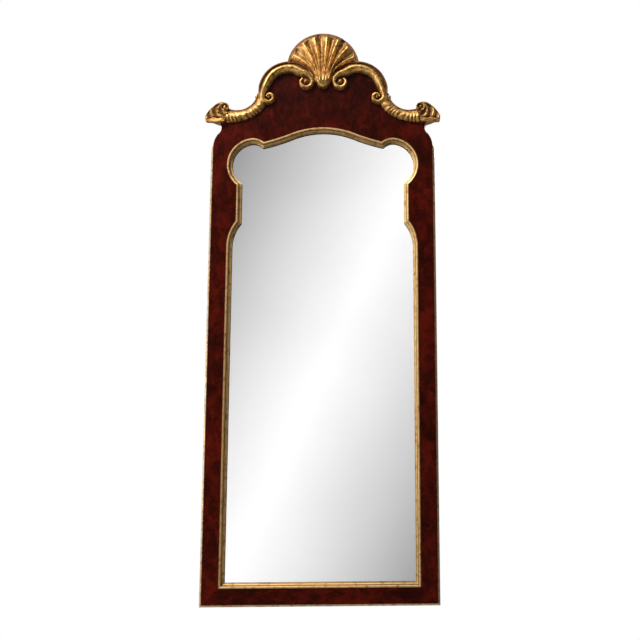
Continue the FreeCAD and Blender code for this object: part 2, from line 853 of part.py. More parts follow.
def whole_mirror():
    """Every piece by its node name."""
    pieces = {}
    pieces.update(carcass_pieces())
    pieces.update(veneer_pieces())
    pieces.update(edge_strips())
    pieces.update(mouldings())
    pieces["mirror_glass"] = mirror_glass()
    pieces["mirror_silvering"] = mirror_silvering()
    pieces["glazing_blocks"] = glazing_blocks()
    pieces["backboard"] = backboard()
    pieces["crest_shell"] = crest_shell()
    for name, carving in (("c_scroll", c_scroll()), ("leaf_scroll", leaf_scroll()),
                          ("ear_leaf", ear_leaf()), ("hanger_strap", hanger_strap()),
                          ("hanging_ring", hanging_ring())):
        pieces[name + "_right"] = carving
        pieces[name + "_left"] = mirrored(carving)
    back_nails = [nail(place) for place in backboard_nail_places()]
    fasten(pieces, "backboard_nails", back_nails, back_nails,
           ("backboard", "carcass_bottom_rail", "carcass_left_stile", "carcass_right_stile",
            "carcass_crest_board"))
    screw_places = hanger_screw_places()
    screw_places += [Vector(-place.x, place.y, place.z) for place in screw_places]
    fasten(pieces, "hanger_screws", [screw(place) for place in screw_places],
           [screw_hole(place) for place in screw_places],
           ("hanger_strap_left", "hanger_strap_right", "carcass_crest_board"))
    return pieces


def export():
    """Move the origin to the wall plane at mid-height of the glass and write every piece."""
    os.makedirs("parts", exist_ok=True)
    eye_level = (opening_bottom + arch_height) / 2
    for name, shape in whole_mirror().items():
        shape.translate(Vector(0, 0, -eye_level))
        solids = shape.Solids
        if len(solids) == 1:
            shape = solids[0]
        shape.exportStep("parts/" + name + ".step")
        state = "valid" if shape.isValid() else "not valid"
        print(name, len(solids), state, round(shape.Volume))


export()
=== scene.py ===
"""Tall wall mirror: the finishes, the carved crest in full detail and the studio round it."""

import math

import bmesh
import bpy
import numpy as np
from mathutils import Matrix, Vector


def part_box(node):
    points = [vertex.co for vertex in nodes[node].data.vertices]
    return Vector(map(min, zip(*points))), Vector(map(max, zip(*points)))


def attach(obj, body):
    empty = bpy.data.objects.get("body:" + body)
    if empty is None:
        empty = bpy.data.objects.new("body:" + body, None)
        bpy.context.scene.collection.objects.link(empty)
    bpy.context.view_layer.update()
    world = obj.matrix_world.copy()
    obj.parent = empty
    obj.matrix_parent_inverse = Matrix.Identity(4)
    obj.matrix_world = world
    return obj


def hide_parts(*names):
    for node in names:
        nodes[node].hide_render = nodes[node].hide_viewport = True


bl_info = {
    "name": "Wall mirror",
    "version": (1, 0, 0),
    "blender": (4, 5, 0),
    "location": "View3D > Sidebar > Mirror",
    "description": "Builds a tall wall mirror with a carved and gilded crest",
    "category": "Add Mesh",
}

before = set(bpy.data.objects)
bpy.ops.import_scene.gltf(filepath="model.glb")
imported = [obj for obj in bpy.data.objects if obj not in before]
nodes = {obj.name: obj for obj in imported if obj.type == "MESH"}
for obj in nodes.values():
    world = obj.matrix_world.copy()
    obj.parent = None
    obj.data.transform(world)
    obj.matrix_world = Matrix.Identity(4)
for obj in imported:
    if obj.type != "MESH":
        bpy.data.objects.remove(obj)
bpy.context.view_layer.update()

# Places that come from the construction model, in metres
bottom_low, bottom_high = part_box("edge_strip_bottom")
half_width = bottom_high.x
bottom_edge = bottom_low.z
veneer_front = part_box("veneer_crest_right")[0].y
glass_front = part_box("mirror_glass")[0].y
shoulder_height = 1.090
shoulder_level = bottom_edge + shoulder_height

# The crest is drawn in modules, of which half the frame's width holds so many
modules_in_half_width = 2.85
module = half_width / modules_in_half_width
sides = ((1, "right"), (-1, "left"))


def linear_colour(hex_colour):
    """Linear red, green and blue of an sRGB colour such as C89B5A."""
    parts = np.array([int(hex_colour[i:i + 2], 16) for i in (0, 2, 4)]) / 255
    low = parts / 12.92
    high = ((parts + 0.055) / 1.055) ** 2.4
    return tuple(float(v) for v in np.where(parts <= 0.04045, low, high))


def colour_property(name, description, hex_colour):
    return bpy.props.FloatVectorProperty(
        name=name, description=description, subtype="COLOR", size=3, min=0, max=1,
        default=linear_colour(hex_colour))


def length_property(name, description, metres):
    return bpy.props.FloatProperty(
        name=name, description=description, unit="LENGTH", min=0, default=metres)


class MirrorSizes(bpy.types.PropertyGroup):
    shell_depth: length_property("Shell depth", "How far the shell stands off the veneer", 0.0255)
    scroll_depth: length_property("Scroll depth", "How far the C-scrolls stand off the veneer", 0.0198)
    leaf_depth: length_property("Leaf depth", "How far the leaf scrolls stand off the veneer", 0.0158)
    ear_depth: length_property("Ear depth", "How far the ears stand off the veneer", 0.0185)
    burr_size: length_property("Burr size", "Width of one cloud in the burr veneer", 0.017)
    floor_drop: length_property("Floor drop", "From the mirror's bottom edge to the floor", 0.9)


class MirrorColours(bpy.types.PropertyGroup):
    gilt: colour_property("Gilding", "Gold leaf where it is rubbed bright", "D6AB62")
    gilt_deep: colour_property("Old gilding", "Gold leaf dulled by age and dirt", "8C5C26")
    # Dirt in the carvings' cuts, and painted shade on the walls and bead flanks of the sight moulding
    hollow: colour_property("Hollows", "Glue size and dirt in the deep cuts", "5A2A0A")
    bole: colour_property("Bole", "Red clay that shows where the leaf is rubbed through", "8A4220")
    moulding_gilt: colour_property("Moulding gilding", "Paler leaf on the sight moulding", "EAC382")
    moulding_dull: colour_property("Worn moulding gilding", "Rubbed leaf on the sight moulding", "9C6628")
    strip_gilt: colour_property("Pale gilding", "Thin pale leaf on the outer edge strip", "B29A78")
    strip_worn: colour_property("Worn pale gilding", "Rubbed leaf on the outer edge strip", "8C6C4A")
    burr_dark: colour_property("Burr, dark", "Darkest clouds of the veneer", "250602")
    burr_mid: colour_property("Burr, middle", "Body colour of the veneer", "3A0A03")
    burr_light: colour_property("Burr, light", "Brightest red clouds of the veneer", "571205")
    pine: colour_property("Pine", "Softwood of the boards and blocks", "A8794A")
    pine_dark: colour_property("Pine, dark", "Late wood and dust on the softwood", "6E4A2B")
    steel: colour_property("Steel", "Plated steel of the hangers", "B9B7B2")
    iron: colour_property("Iron", "Cut nails", "4A4643")


# Materials

def add(owner, kind, inputs=None, settings=None, stops=()):
    """Adds a node with its settings to a material or a world.

    inputs gives each input a value, a socket or a node, whose first output is then
    taken; stops are the (place, linear colour) pairs of a colour ramp.
    """
    tree = owner.node_tree
    made = tree.nodes.new(kind)
    for name, value in (settings or {}).items():
        setattr(made, name, value)
    for name, value in (inputs or {}).items():
        if isinstance(value, bpy.types.Node):
            value = value.outputs[0]
        if isinstance(value, bpy.types.NodeSocket):
            tree.links.new(value, made.inputs[name])
        else:
            made.inputs[name].default_value = value
    # A new ramp has two stops, and the rest are added at its end
    if stops:
        elements = made.color_ramp.elements
        while len(elements) < len(stops):
            elements.new(1)
        for element, (place, colour) in zip(elements, stops):
            element.position = place
            element.color = opaque(colour)
    return made


def opaque(colour):
    """Red, green, blue and a full alpha."""
    return (*colour, 1)


def new_material(name):
    """An empty material, and the socket that gives a point's place on the object in metres."""
    material = bpy.data.materials.new(name)
    material.use_nodes = True
    material.node_tree.nodes.clear()
    return material, add(material, "ShaderNodeTexCoord").outputs["Object"]


def finish_material(material, shader):
    """Ends a material with its surface shader."""
    add(material, "ShaderNodeOutputMaterial", {"Surface": shader})
    return material


def burr_mahogany(turn, name):
    """Burr veneer, sliced, matched and French polished: clouds of red and near black under gloss.

    The clouds give the mottle, a warped fine noise the pores, the coat the deep wet shine.
    """
    sizes = bpy.context.scene.mirror_sizes
    colours = bpy.context.scene.mirror_colours
    material, place = new_material(name)
    leaf = add(material, "ShaderNodeMapping", {"Vector": place, "Rotation": (0, turn, 0)})
    clouds_per_metre = 1 / sizes.burr_size
    warp = add(material, "ShaderNodeTexNoise", {
        "Vector": leaf, "Scale": clouds_per_metre * 0.45, "Detail": 3.0}).outputs["Color"]
    bent = add(material, "ShaderNodeVectorMath", {0: warp, 1: (0.035, 0.035, 0.07), 2: leaf},
               {"operation": "MULTIPLY_ADD"})
    stretched = add(material, "ShaderNodeMapping", {"Vector": bent, "Scale": (1.0, 1.0, 0.6)})
    clouds = add(material, "ShaderNodeTexNoise", {
        "Vector": stretched, "Scale": clouds_per_metre * 0.85, "Detail": 5.0, "Roughness": 0.62})
    # Broad light and dark over about 150 mm, as one leaf of veneer has
    broad = add(material, "ShaderNodeTexNoise", {"Vector": leaf, "Scale": 6.5, "Detail": 2.0})
    mottle = add(material, "ShaderNodeMath", {0: broad, 1: 0.55, 2: clouds}, {"operation": "MULTIPLY_ADD"})
    # Painted shade: the veneer darkens within 240 mm of the crest's middle, round and under the shell
    crest_middle = (0, veneer_front, shoulder_level + 0.20)
    from_shell = add(material, "ShaderNodeVectorMath", {0: place, 1: crest_middle},
                     {"operation": "DISTANCE"})
    shade = add(material, "ShaderNodeMapRange", {
        "Value": from_shell.outputs["Value"], "From Min": 0.06, "From Max": 0.24, "To Min": 0.36,
        "To Max": 0.27})
    shaded = add(material, "ShaderNodeMath", {0: mottle, 1: shade}, {"operation": "SUBTRACT"})
    colour = add(material, "ShaderNodeValToRGB", {"Fac": shaded}, stops=(
        (0.30, colours.burr_dark), (0.48, colours.burr_mid), (0.70, colours.burr_light)))
    # Pores are 0.3 mm in the wood and drawn at 2.4 mm, the least that shows
    pores = add(material, "ShaderNodeTexNoise", {
        "Vector": stretched, "Scale": 420.0, "Detail": 2.0, "Roughness": 0.7})
    rough = add(material, "ShaderNodeMapRange", {"Value": clouds, "To Min": 0.10, "To Max": 0.15})
    bump = add(material, "ShaderNodeBump", {"Height": pores, "Strength": 0.05, "Distance": 0.0004})
    shader = add(material, "ShaderNodeBsdfPrincipled", {
        "Base Color": colour, "Roughness": rough, "IOR": 1.5, "Coat Weight": 0.2,
        "Coat Roughness": 0.06, "Normal": bump})
    return finish_material(material, shader)


def planed_pine(name):
    """Planed softwood that has darkened with age: long soft rings and grey dust, no shine."""
    colours = bpy.context.scene.mirror_colours
    material, place = new_material(name)
    # Growth rings about 14 mm apart across the boards, drawn out upwards
    stretched = add(material, "ShaderNodeMapping", {"Vector": place, "Scale": (1.0, 1.0, 0.07)})
    grain = add(material, "ShaderNodeTexNoise", {
        "Vector": stretched, "Scale": 70.0, "Detail": 4.0, "Distortion": 0.6})
    # Dust in patches of about 110 mm
    dust = add(material, "ShaderNodeTexNoise", {"Vector": place, "Scale": 9.0, "Detail": 4.0})
    mixed = add(material, "ShaderNodeMath", {0: dust, 1: 0.35, 2: grain}, {"operation": "MULTIPLY_ADD"})
    colour = add(material, "ShaderNodeValToRGB", {"Fac": mixed}, stops=(
        (0.42, colours.pine_dark), (0.86, colours.pine)))
    bump = add(material, "ShaderNodeBump", {"Height": grain, "Strength": 0.25, "Distance": 0.0006})
    shader = add(material, "ShaderNodeBsdfPrincipled", {
        "Base Color": colour, "Roughness": 0.78, "IOR": 1.5, "Normal": bump})
    return finish_material(material, shader)


def gilding(name, bright, dull, worn, cut):
    """Leaf on red clay over gesso, burnished, then worn: bright on the heights, brown in the cuts.

    worn is the level of the wear pattern below which the clay shows; cut makes the socket that says how
    deep a point lies, from 0 on the heights to 1, and on the sight moulding it also carries painted shade.
    """
    colours = bpy.context.scene.mirror_colours
    material, place = new_material(name)
    # Leaf wear in patches of 10 mm with a ragged edge, gesso ripple at 3 mm
    wear = add(material, "ShaderNodeTexNoise", {
        "Vector": place, "Scale": 95.0, "Detail": 6.0, "Roughness": 0.65})
    ripple = add(material, "ShaderNodeTexNoise", {"Vector": place, "Scale": 330.0, "Detail": 3.0})
    tone = add(material, "ShaderNodeValToRGB", {"Fac": wear}, stops=(
        (worn, colours.bole), (worn + 0.11, dull), (worn + 0.30, bright)))
    # The cut mixes in the hollows' colour: dirt in the carvings' cuts, and painted shade on the sight
    # moulding
    sunk = cut(material)
    colour = add(material, "ShaderNodeMix", {"Factor": sunk, 6: tone, 7: opaque(colours.hollow)},
                 {"data_type": "RGBA"}).outputs[2]
    metal = add(material, "ShaderNodeMapRange", {"Value": sunk, "To Min": 0.80, "To Max": 0.70})
    rough = add(material, "ShaderNodeMapRange", {"Value": sunk, "To Min": 0.40, "To Max": 0.72})
    bump = add(material, "ShaderNodeBump", {"Height": ripple, "Strength": 0.22, "Distance": 0.0008})
    shader = add(material, "ShaderNodeBsdfPrincipled", {
        "Base Color": colour, "Metallic": metal, "Roughness": rough, "Coat Weight": 0.08,
        "Coat Roughness": 0.28, "Normal": bump})
    return finish_material(material, shader)


def carved_cut(material):
    """Depth below the carving's heights, kept on its vertices; on the sight moulding it also holds painted
    shade on the walls and the bead's flanks.
    """
    return add(material, "ShaderNodeAttribute", None, {"attribute_name": "cut"}).outputs["Fac"]


def worn_cut(material):
    """Faint patches of dirt, 40 mm long, along plain gilt strips."""
    place = add(material, "ShaderNodeTexCoord").outputs["Object"]
    patches = add(material, "ShaderNodeTexNoise", {"Vector": place, "Scale": 26.0, "Detail": 4.0})
    return add(material, "ShaderNodeMapRange", {
        "Value": patches, "From Min": 0.45, "From Max": 0.75, "To Max": 0.3}).outputs["Result"]


def clear_plate():
    """Polished plate glass: clear and mirror-smooth, its tone all but even."""
    material, place = new_material("clear plate glass")
    # The tone wanders over about 300 mm
    swell = add(material, "ShaderNodeTexNoise", {"Vector": place, "Scale": 3.2, "Detail": 1.0})
    tint = add(material, "ShaderNodeValToRGB", {"Fac": swell}, stops=(
        (0.2, linear_colour("FAFAFA")), (0.8, linear_colour("FFFFFF"))))
    shader = add(material, "ShaderNodeBsdfPrincipled", {
        "Base Color": tint, "Roughness": 0.0, "IOR": 1.5, "Transmission Weight": 1.0})
    return finish_material(material, shader)


def silvered_back():
    """Silver laid on the back of the plate: a bright, exact reflection with a few tarnished specks."""
    material, place = new_material("silvered back")
    # Specks of tarnish up to 6 mm wide
    specks = add(material, "ShaderNodeTexNoise", {"Vector": place, "Scale": 160.0, "Detail": 3.0})
    colour = add(material, "ShaderNodeValToRGB", {"Fac": specks}, stops=(
        (0.17, linear_colour("8E8A84")), (0.22, linear_colour("F6F6F6"))))
    shader = add(material, "ShaderNodeBsdfPrincipled", {
        "Base Color": colour, "Metallic": 1.0, "Roughness": 0.0})
    return finish_material(material, shader)


def worked_metal(name, colour, metallic, roughness, grain_per_metre):
    """Drawn or forged metal: fine scratches in the plating or the scale."""
    material, place = new_material(name)
    grain = add(material, "ShaderNodeTexNoise", {
        "Vector": place, "Scale": grain_per_metre, "Detail": 5.0})
    darker = [part * 0.6 for part in colour]
    tone = add(material, "ShaderNodeValToRGB", {"Fac": grain}, stops=((0.3, darker), (0.65, colour)))
    rough = add(material, "ShaderNodeMapRange", {
        "Value": grain, "To Min": roughness * 0.8, "To Max": roughness * 1.3})
    bump = add(material, "ShaderNodeBump", {"Height": grain, "Strength": 0.15, "Distance": 0.0002})
    shader = add(material, "ShaderNodeBsdfPrincipled", {
        "Base Color": tone, "Metallic": metallic, "Roughness": rough, "Normal": bump})
    return finish_material(material, shader)


def dress(node_names, material):
    """Gives construction nodes a finish through their own material slots."""
    for name in node_names:
        for material_slot in nodes[name].material_slots:
            material_slot.material = material


# Surfaces

def crest_place(across, up, height):
    """Points of the crest: across and up in modules from the shoulder, height in metres off the veneer."""
    across, up, height = np.broadcast_arrays(across, up, height)
    return np.stack([across * module, veneer_front - height, shoulder_level + up * module], axis=-1)


def smooth_line(keys, count):
    """Points along a smooth line through the keys.

    Between each pair of keys runs the cubic whose slope at a key is half the
    step from the key before to the key after.
    """
    keys = np.asarray(keys, float)
    padded = np.concatenate([[2 * keys[0] - keys[1]], keys, [2 * keys[-1] - keys[-2]]])
    along = np.linspace(0, len(keys) - 1, count)
    span = np.minimum(along.astype(int), len(keys) - 2)
    t = (along - span)[:, None]
    before, start, end, after = (padded[span + i] for i in range(4))
    return 0.5 * (2 * start + (end - before) * t
                  + (2 * before - 5 * start + 4 * end - after) * t ** 2
                  + (3 * start - before - 3 * end + after) * t ** 3)


def smooth_profile(share, places, levels):
    """Straight stretches between the levels, softened by a short running mean."""
    fine = np.linspace(0, 1, 400)
    raw = np.interp(fine, places, levels)
    window = np.ones(15) / 15
    soft = np.convolve(np.pad(raw, 7, mode="edge"), window, mode="valid")
    return np.interp(share, fine, soft)


def linked(name, data):
    """Object of this name and data, put in the scene."""
    made = bpy.data.objects.new(name, data)
    bpy.context.scene.collection.objects.link(made)
    return made


def solid_tube(name, loops, cuts):
    """Solid through closed loops of points, one after the other, with a flat cap at each end."""
    sections, around = loops.shape[:2]
    index = np.arange(sections * around).reshape(sections, around)
    before, after = index[:-1], index[1:]
    quads = np.stack([before, np.roll(before, -1, 1), np.roll(after, -1, 1), after], axis=-1)
    faces = quads.reshape(-1, 4).tolist() + [index[0].tolist(), index[-1][::-1].tolist()]
    mesh = bpy.data.meshes.new(name)
    mesh.from_pydata(loops.reshape(-1, 3).tolist(), [], faces)
    work = bmesh.new()
    work.from_mesh(mesh)
    bmesh.ops.recalc_face_normals(work, faces=work.faces)
    work.to_mesh(mesh)
    work.free()
    attribute = mesh.attributes.new("cut", "FLOAT", "POINT")
    attribute.data.foreach_set("value", np.clip(cuts, 0, 1).ravel())
    mesh.shade_smooth()
    mesh.set_sharp_from_angle(angle=math.radians(55))
    return linked(name, mesh)


def relief(name, front, cut, ground=None):
    """Solid from a grid of front points: each section runs back to the ground behind it.

    The ground is the veneer's front, or the level given in metres.
    """
    first = front[:, :1].copy()
    last = front[:, -1:].copy()
    first[..., 1] = last[..., 1] = veneer_front if ground is None else ground
    loops = np.concatenate([first, front, last], axis=1)
    cuts = np.concatenate([cut[:, :1], cut, cut[:, -1:]], axis=1)
    return solid_tube(name, loops, cuts)


def seat(piece, node, material):
    """Finishes a piece and hangs it on the mirror's body in place of its construction node."""
    piece.data.materials.append(material)
    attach(piece, "mirror")
    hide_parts(node)


def joined(name, pieces):
    """One object out of several closed pieces."""
    work = bmesh.new()
    for piece in pieces:
        work.from_mesh(piece.data)
        bpy.data.objects.remove(piece)
    mesh = bpy.data.meshes.new(name)
    work.to_mesh(mesh)
    work.free()
    return linked(name, mesh)


def carve_pair(node, make_parts):
    """The right and the left carving of a pair; make_parts gives the closed parts of one side."""
    sizes = bpy.context.scene.mirror_sizes
    for side, word in sides:
        name = node + "_" + word
        whole = joined(name + "_carving", make_parts(side, name, sizes))
        seat(whole, name, bpy.data.materials["water gilding"])


# Angles round a turned piece
turned_count = 48
# Foot of a turned piece above the veneer, so that its flat foot and a carving's flat back keep apart
turned_foot = 0.0006


def turned(name, side, centre, radius, share, level, cut):
    """Round piece from circles about a centre, from its foot's rim to its middle.

    share is a column with each circle's part of the radius; level and cut are
    columns too, or grids over (circle, angle).
    """
    turn = np.linspace(0, 2 * np.pi, turned_count, endpoint=False)[None, :]
    level, cut = (np.broadcast_to(values, (len(share), turned_count)) for values in (level, cut))
    level = np.maximum(level, turned_foot)
    loops = crest_place(side * (centre[0] + radius * share * np.cos(turn)),
                        centre[1] + radius * share * np.sin(turn), level)
    return solid_tube(name, loops, cut)


def boss(name, side, centre, radius, height):
    """Round button: a wall to 0.45 of its height, then a dome.

    The dome's level is the root of one minus the radius share squared.
    """
    share = np.concatenate([[1], np.linspace(1, 0.02, 9)])[:, None]
    level = height * (0.45 + 0.55 * np.sqrt(1 - share ** 2))
    level[0] = 0
    return turned(name, side, centre, radius, share, level, 0.15 + 0.75 * share ** 4)


def volute_eye(name, side, centre, radius, height):
    """Eye of a volute on its dark ground: a dome over the inner half, a flat ring round it."""
    eye = 0.48
    share = np.concatenate([[1], np.linspace(1, eye + 0.01, 4), np.linspace(eye, 0.02, 9)])[:, None]
    inside = share <= eye
    dome = 0.50 + 0.44 * np.sqrt(1 - (share / eye).clip(0, 1) ** 2)
    level = height * np.where(inside, dome, 0.40)
    level[0] = 0
    cut = np.where(inside, 0.30 + 0.6 * (share / eye) ** 4, 0.95)
    return turned(name, side, centre, radius, share, level, cut)


def curl(name, side, centre, radius, height):
    """Small volute: a rim, a groove and an eye, all drawn in by 0.30 of the radius in one turn."""
    share = np.concatenate([[1], np.linspace(1, 0.02, 24)])[:, None]
    turn = np.linspace(0, 1, turned_count, endpoint=False)[None, :]
    wound = np.clip(share + 0.30 * ((turn + 0.35) % 1) - 0.15, 0, 1.15)
    level = height * smooth_profile(wound / 1.15, (0, 0.22, 0.34, 0.46, 0.58, 0.70, 0.86, 1),
                                    (1.0, 0.96, 0.70, 0.52, 0.60, 0.92, 0.96, 0.70))
    level[0] = 0
    cut = 0.15 + np.exp(-((wound - 0.52) / 0.11) ** 2) + 0.3 * (wound > 1.05)
    return turned(name, side, centre, radius, share, level, cut)


# Shell

# Places of the seven ridges along the rim, -1 to 1, as the carver spaced them
ridge_places = (-0.832, -0.468, -0.192, 0.086, 0.336, 0.610, 0.876)
# Knocks in the gilding: place along the rim, place from stem to rim, size and depth share
shell_knocks = ((0.425, 0.965, 0.035, 0.22), (0.09, 0.40, 0.05, 0.16), (-0.10, 0.95, 0.03, 0.10))
# Half angle of the fan in degrees, and in modules: where its rays start, how far above that
# the centre of the rim's circle lies, and the circle's radius
fan_half_angle = 50
rays_level, rim_centre_rise, rim_radius = 1.88, 0.635, 0.930
# Ellipse of the stem's foot, and the waist between stem and fan, in modules
stem_half_width, stem_level, stem_drop = 0.170, 2.145, 0.158
waist_half_width, waist_level = 0.235, 2.57
# Shares of the way from stem to rim: where the rim's band starts, and how long a hollow's arch is
rim_start, arch_length = 0.962, 0.14


def shell_front(sizes):
    """Front of the shell over (place across, place from stem to rim).

    Each line from the round stem to the round rim is a parabola that a waist
    between them pulls in: their weights are the square of the way left, twice the
    way left times the way gone, and the square of the way gone. Between the ridges
    the level falls by a raised cosine to the power 1.15; the power fades to nothing
    just under the rim's band, so each hollow ends in an arch.
    """
    across = np.linspace(-1, 1, 281)[:, None]
    along = np.linspace(0, 1, 110)[None, :]
    angle = np.radians(fan_half_angle) * across
    reach = (rim_centre_rise * np.cos(angle)
             + np.sqrt(rim_radius ** 2 - (rim_centre_rise * np.sin(angle)) ** 2))
    stem_x = stem_half_width * np.sin(np.pi / 2 * across)
    stem_z = stem_level - stem_drop * np.cos(np.pi / 2 * across)
    waist_x = waist_half_width * np.sign(across) * np.abs(across) ** 0.8
    rim_x, rim_z = reach * np.sin(angle), rays_level + reach * np.cos(angle)
    start, middle, end = (1 - along) ** 2, 2 * along * (1 - along), along ** 2
    x = start * stem_x + middle * waist_x + end * rim_x
    z = start * stem_z + middle * waist_level + end * rim_z
    # order counts the ridges along the rim; the fan's sides cut off the hollows beyond the outer two
    ends = (ridge_places[0] - 0.30, *ridge_places, ridge_places[-1] + 0.28)
    order = np.interp(across, ends, np.arange(len(ends)))
    from_ridge = 1 - np.abs(2 * (order % 1) - 1)
    into_arch = ((along - rim_start + arch_length) / arch_length).clip(0, 1)
    arch = np.sqrt(np.clip(1 - into_arch ** 2, 0, 1))
    ridge = (0.5 + 0.5 * np.cos(np.pi * from_ridge)) ** (1.15 * arch)
    in_fan = np.clip((rim_start - along) / 0.03, 0, 1)
    # The fan rises off its stem, swells towards the middle of its height and falls to its sides
    rise = np.sqrt(1 - (1 - np.clip(along / 0.16, 0, 1)) ** 2)
    dome = (0.36 + 0.38 * rise) + 0.26 * np.sin(np.pi * np.clip(along * 0.80 + 0.10, 0, 1))
    side_fall = 1 - 0.35 * np.abs(across) ** 4
    # The hollows deepen on their way out from the stem
    flute = 0.42 * np.clip((along - 0.12) / 0.45, 0, 1) ** 0.8
    level = (dome * side_fall - flute * (1 - ridge)) * in_fan + 0.50 * (1 - in_fan)
    cut = 0.42 * (1 - ridge) ** 1.5 * np.clip(along / 0.4, 0, 1) * in_fan + 0.75 * (1 - in_fan)
    for place_across, place_along, size, depth in shell_knocks:
        knock = np.exp(-((across - place_across) ** 2 + (along - place_along) ** 2) / size ** 2)
        level = level - depth * knock
        cut = cut + 0.4 * knock
    front = crest_place(x, z, level * sizes.shell_depth)
    return front, cut


class MIRROR_OT_shell(bpy.types.Operator):
    """Carves the scallop shell on top of the crest"""
    bl_idname = "mirror.shell"
    bl_label = "Shell"

    def execute(self, context):
        front, cut = shell_front(context.scene.mirror_sizes)
        seat(relief("crest_shell_carving", front, cut), "crest_shell",
             bpy.data.materials["water gilding"])
        return {"FINISHED"}


# C-scrolls

upper_eye = (0.445, 2.148)
lower_eye = (1.388, 1.725)
scroll_arc = (0.865, 1.90)
# Eye of each volute: its centre and radius in modules, its share of the scroll's depth
volute_eyes = ((upper_eye, 0.125, 0.85), (lower_eye, 0.085, 0.80))
# Stations from the lower eye to the upper one. Each edge is given as the centre that it is
# measured from, an angle in degrees and a radius in modules, outer edge then inner edge.
scroll_stations = (
    (lower_eye, -350, 0.085, lower_eye, -350, 0.040),
    (lower_eye, -300, 0.110, lower_eye, -300, 0.045),
    (lower_eye, -250, 0.135, lower_eye, -250, 0.052),
    (lower_eye, -200, 0.150, lower_eye, -200, 0.060),
    (lower_eye, -150, 0.150, lower_eye, -150, 0.066),
    (lower_eye, -100, 0.152, lower_eye, -100, 0.072),
    (lower_eye, -58, 0.185, lower_eye, -52, 0.085),
    (lower_eye, -20, 0.255, lower_eye, 0, 0.105),
    (scroll_arc, -3, 0.797, lower_eye, 55, 0.140),
    (scroll_arc, 15, 0.797, scroll_arc, 18, 0.525),
    (scroll_arc, 38, 0.797, scroll_arc, 40, 0.525),
    (scroll_arc, 60, 0.797, scroll_arc, 60, 0.525),
    (scroll_arc, 82, 0.797, scroll_arc, 80, 0.522),
    (scroll_arc, 104, 0.797, scroll_arc, 98, 0.510),
    (scroll_arc, 122, 0.785, upper_eye, 42, 0.270),
    (upper_eye, 107, 0.335, upper_eye, 80, 0.150),
    (upper_eye, 140, 0.255, upper_eye, 125, 0.125),
    (upper_eye, 180, 0.212, upper_eye, 175, 0.118),
    (upper_eye, 225, 0.202, upper_eye, 222, 0.112),
    (upper_eye, 270, 0.200, upper_eye, 270, 0.106),
    (upper_eye, 315, 0.190, upper_eye, 315, 0.100),
    (upper_eye, 360, 0.176, upper_eye, 360, 0.094),
    (upper_eye, 405, 0.150, upper_eye, 405, 0.088),
)


def station_points(first):
    """Places of one edge: centre plus radius times the cosine and sine of the angle."""
    rows = [station[first:first + 3] for station in scroll_stations]
    centres = np.array([row[0] for row in rows])
    angles = np.radians([row[1] for row in rows])
    radii = np.array([row[2] for row in rows])
    return centres + np.stack([np.cos(angles), np.sin(angles)], axis=-1) * radii[:, None]


def band_level(share):
    """Height over the band's width: a flat fillet, a narrow hollow and a broad round."""
    places = (0.0, 0.03, 0.13, 0.16, 0.22, 0.27, 0.34, 0.42, 0.52, 0.66, 0.80, 0.92, 1.0)
    levels = (0.50, 0.60, 0.60, 0.57, 0.42, 0.45, 0.66, 0.84, 0.98, 1.00, 0.86, 0.64, 0.42)
    return smooth_profile(share, places, levels)


def scroll_band(side, name, sizes):
    """The band between its outer and inner edge, with the section of band_level across it.

    Where the band narrows into a volute the section turns into a plain round rim,
    the root of one minus the square of the way off its middle.
    """
    outer = smooth_line(station_points(0), 460)[:, None, :]
    inner = smooth_line(station_points(3), 460)[:, None, :]
    share = np.linspace(0, 1, 44)[None, :]
    width = np.linalg.norm(outer - inner, axis=-1)
    place = outer + (inner - outer) * share[..., None]
    arch = np.clip((width - 0.11) / 0.13, 0, 1)
    swell = 0.66 + 0.34 * np.clip((width - 0.06) / 0.20, 0, 1)
    rim = 0.62 + 0.38 * np.sqrt(1 - ((2 * share - 1) * 0.98) ** 2)
    level = (arch * band_level(share) + (1 - arch) * rim) * swell
    front = crest_place(side * place[..., 0], place[..., 1], level * sizes.scroll_depth)
    hollow = np.exp(-((share - 0.22) / 0.055) ** 2)
    outside = np.clip((0.22 - share) / 0.05, 0, 1)
    edge = np.clip((share - 0.90) / 0.1, 0, 1)
    cut = arch * (0.9 * hollow + 0.85 * outside) + 0.6 * edge + 0.4 * (1 - arch) * outside
    return relief(name + "_band", front, cut)


def scroll_parts(side, name, sizes):
    """The band of a C-scroll and the eyes of its two volutes."""
    eyes = [volute_eye(name + "_eye", side, centre, radius, share * sizes.scroll_depth)
            for centre, radius, share in volute_eyes]
    return [scroll_band(side, name, sizes), *eyes]


class MIRROR_OT_c_scrolls(bpy.types.Operator):
    """Carves the two C-scrolls with a volute at each end"""
    bl_idname = "mirror.c_scrolls"
    bl_label = "C-scrolls"

    def execute(self, context):
        carve_pair("c_scroll", scroll_parts)
        return {"FINISHED"}


# Leaf scrolls

leaf_centre = (2.20, 1.905)
leaf_inner = 0.52
leaf_foot_angle, leaf_ear_angle = 188, 291.5
leaf_lobe_count = 12
# Knob at the leaf's foot: its centre and radius in modules, its share of the leaf's depth
leaf_knob = ((1.700, 1.738), 0.046, 0.72)
# Width of the leaf in modules at places from its foot, by the C-scroll, to the ear
leaf_width_places = (0.0, 0.07, 0.15, 0.27, 0.40, 0.52, 0.73, 0.88, 1.0)
leaf_widths = (0.14, 0.22, 0.265, 0.275, 0.262, 0.250, 0.265, 0.31, 0.345)


